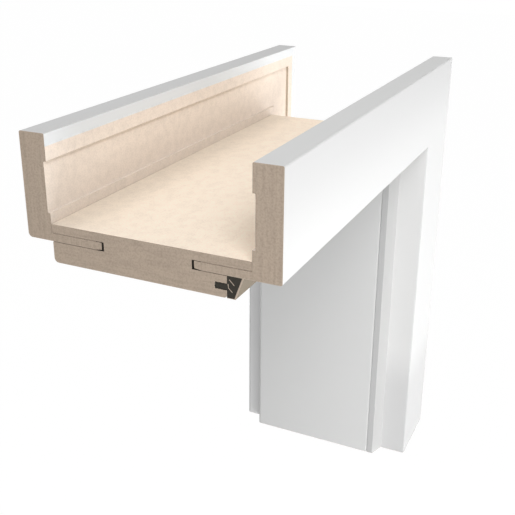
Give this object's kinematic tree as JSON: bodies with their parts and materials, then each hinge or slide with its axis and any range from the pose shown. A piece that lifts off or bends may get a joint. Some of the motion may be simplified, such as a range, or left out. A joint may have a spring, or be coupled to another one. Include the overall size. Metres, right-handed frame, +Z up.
{
  "type": "adjustable door casing frame corner section",
  "caption": "Cut-away top corner of a white-wrapped door casing frame: grooved lining boards, tongued casings on both sides of the wall, one adjustable, and a rubber door seal.",
  "frame": {"origin": "middle of the jamb lining's wall-side face, halfway through the wall and halfway up the jamb's piece", "axes": "+X from the opening into the wall beside the jamb, +Y through the wall from the door side to the adjustable side, +Z up"},
  "size_m": [0.455, 0.2036, 0.453],
  "materials": {
    "board": "matte",
    "foil": "satin",
    "seal_foam": "matte",
    "seal_film": "satin"
  },
  "bodies": {
    "frame": {"head_lining": "board", "head_lining_foil": "foil", "front_head_casing": "board", "front_head_casing_foil": "foil", "head_gasket": "seal_foam", "head_gasket_film": "seal_film", "head_gasket_folds": "seal_film", "head_gasket_stem": "seal_foam", "jamb_lining": "board", "jamb_lining_foil": "foil", "front_jamb_casing": "board", "front_jamb_casing_foil": "foil", "jamb_gasket": "seal_foam", "jamb_gasket_film": "seal_film", "jamb_gasket_folds": "seal_film", "jamb_gasket_stem": "seal_foam"},
    "back_casing": {"back_head_casing": "board", "back_head_casing_foil": "foil", "back_jamb_casing": "board", "back_jamb_casing_foil": "foil"}
  },
  "joints": [
    {"name": "depth_adjustment", "type": "slide", "parent": "frame", "child": "back_casing", "axis": [0, 1, 0], "range_m": [0, 0.02]}
  ]
}
